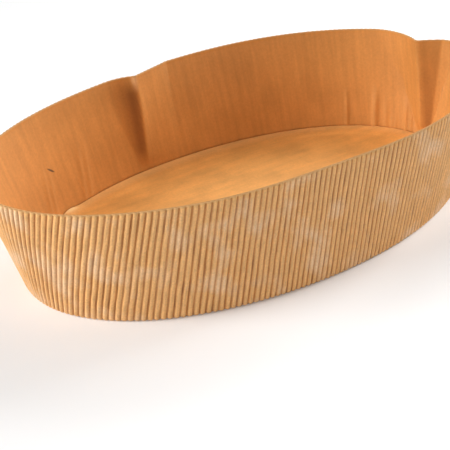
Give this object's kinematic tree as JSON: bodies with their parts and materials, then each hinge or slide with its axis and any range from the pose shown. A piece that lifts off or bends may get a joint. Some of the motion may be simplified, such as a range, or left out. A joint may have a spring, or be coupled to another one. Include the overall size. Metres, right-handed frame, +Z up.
{
  "type": "oval paper baking mold",
  "caption": "Oval kraft paper baking mold with a fluted outer wall, smooth inside, an open rim with two dents and a flat glued base.",
  "frame": {"origin": "middle of the mold's footprint box on the surface that it stands on", "axes": "+X along the oval, +Y across it towards the dented long side, +Z up out of the open rim"},
  "size_m": [0.1898, 0.1076, 0.041],
  "materials": {
    "fluted_kraft": "matte",
    "smooth_kraft": "satin"
  },
  "bodies": {
    "root": {"side_wall": "fluted_kraft", "base_disc": "smooth_kraft"}
  },
  "joints": []
}
